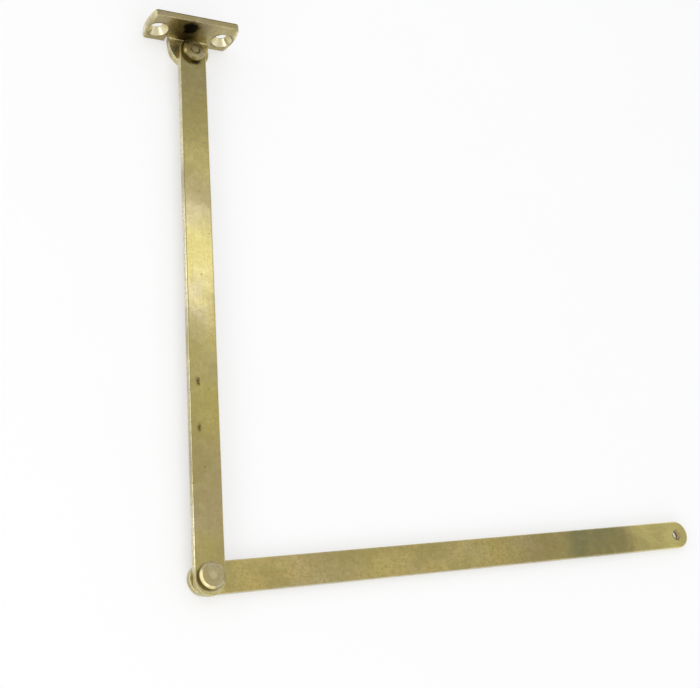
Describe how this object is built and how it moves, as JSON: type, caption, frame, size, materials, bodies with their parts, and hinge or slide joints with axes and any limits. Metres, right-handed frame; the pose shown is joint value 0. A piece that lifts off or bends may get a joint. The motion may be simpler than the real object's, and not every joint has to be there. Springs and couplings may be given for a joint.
{
  "type": "chest lid support hinge",
  "caption": "Folding lid support: flat base arm and long arm riveted at an elbow, with a pivoting angle bracket that screws under the lid.",
  "frame": {"origin": "centre of the base arm's screw hole, in the plane of the base arm's back face", "axes": "+X runs along the base arm from the elbow rivet to the screw hole, +Z points out of the front where the rivet heads are, +Y is the side the long arm stands on at rest"},
  "size_m": [0.2619, 0.2566, 0.0176],
  "materials": {
    "base_arm_brass": "brass-plated steel bar, satin, lightly tarnished",
    "long_arm_brass": "brass-plated steel bar, satin, lightly tarnished",
    "lid_bracket_brass": "brass-plated folded steel sheet, brighter in the countersinks",
    "elbow_rivet_brass": "brass-plated steel, turned face",
    "lid_rivet_brass": "brass-plated steel, turned face"
  },
  "bodies": {
    "base_arm": {"base_arm": "base_arm_brass", "elbow_rivet": "elbow_rivet_brass"},
    "long_arm": {"long_arm": "long_arm_brass"},
    "lid_bracket": {"lid_bracket": "lid_bracket_brass", "lid_rivet": "lid_rivet_brass"}
  },
  "joints": [
    {"name": "elbow_hinge", "type": "hinge", "parent": "base_arm", "child": "long_arm", "pos_m": [-0.2476, 0, 0.0032], "axis": [0, 0, 1], "range_deg": [-74.6, 269.4]},
    {"name": "lid_hinge", "type": "hinge", "parent": "long_arm", "child": "lid_bracket", "pos_m": [-0.21682, 0.23701, 0.0032], "axis": [0, 0, 1], "range_deg": [-97.4, 86.6]}
  ]
}
